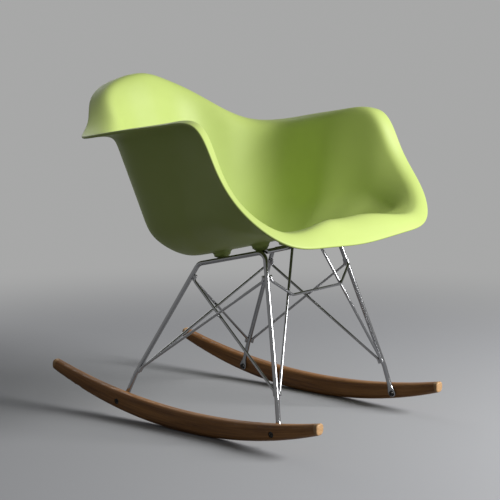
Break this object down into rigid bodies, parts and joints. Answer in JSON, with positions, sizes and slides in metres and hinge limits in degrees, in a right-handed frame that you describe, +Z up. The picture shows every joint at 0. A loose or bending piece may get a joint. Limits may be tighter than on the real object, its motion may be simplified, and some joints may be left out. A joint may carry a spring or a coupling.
{
  "type": "moulded plastic rocking chair",
  "caption": "Armchair shell moulded in one piece, with rolled edges, on a chromed rod and wire base bolted to two bent wooden rockers.",
  "frame": {"origin": "on the floor, under the middle of the chair's bounding box", "axes": "+Z up; the chair faces -Y; X runs across it, with the sitter's right hand towards -X"},
  "size_m": [0.636, 0.6861, 0.6845],
  "materials": {
    "green_shell": "moulded, fine matt texture",
    "chromed_rod": "bright chrome plate",
    "rocker_wood": "satin lacquer over brown stain",
    "insert_brass": "turned",
    "black_pad": "matt",
    "zinc_screw": "zinc plate",
    "dark_bolt": "black oxide"
  },
  "bodies": {
    "root": {"boss_insert_front_left": "insert_brass", "boss_insert_front_right": "insert_brass", "boss_insert_rear_left": "insert_brass", "boss_insert_rear_right": "insert_brass", "foot_bolt_front_left": "dark_bolt", "foot_bolt_front_right": "dark_bolt", "foot_bolt_rear_left": "dark_bolt", "foot_bolt_rear_right": "dark_bolt", "foot_washer_front_left": "dark_bolt", "foot_washer_front_right": "dark_bolt", "foot_washer_rear_left": "dark_bolt", "foot_washer_rear_right": "dark_bolt", "front_cross_bar": "chromed_rod", "front_stretcher": "chromed_rod", "front_strut_left": "chromed_rod", "front_strut_right": "chromed_rod", "mount_tab_front_left": "chromed_rod", "mount_tab_front_right": "chromed_rod", "mount_tab_rear_left": "chromed_rod", "mount_tab_rear_right": "chromed_rod", "rear_brace_from_left": "chromed_rod", "rear_brace_from_right": "chromed_rod", "rocker_left": "rocker_wood", "rocker_right": "rocker_wood", "seat_pad_front_left": "black_pad", "seat_pad_front_right": "black_pad", "seat_pad_rear_left": "black_pad", "seat_pad_rear_right": "black_pad", "seat_screw_front_left": "zinc_screw", "seat_screw_front_right": "zinc_screw", "seat_screw_rear_left": "zinc_screw", "seat_screw_rear_right": "zinc_screw", "seat_shell": "green_shell", "side_brace_falling_left": "chromed_rod", "side_brace_falling_right": "chromed_rod", "side_brace_rising_left": "chromed_rod", "side_brace_rising_right": "chromed_rod", "side_frame_left": "chromed_rod", "side_frame_right": "chromed_rod", "sleeve_nut_front_left": "dark_bolt", "sleeve_nut_front_right": "dark_bolt", "sleeve_nut_rear_left": "dark_bolt", "sleeve_nut_rear_right": "dark_bolt"}
  },
  "joints": []
}
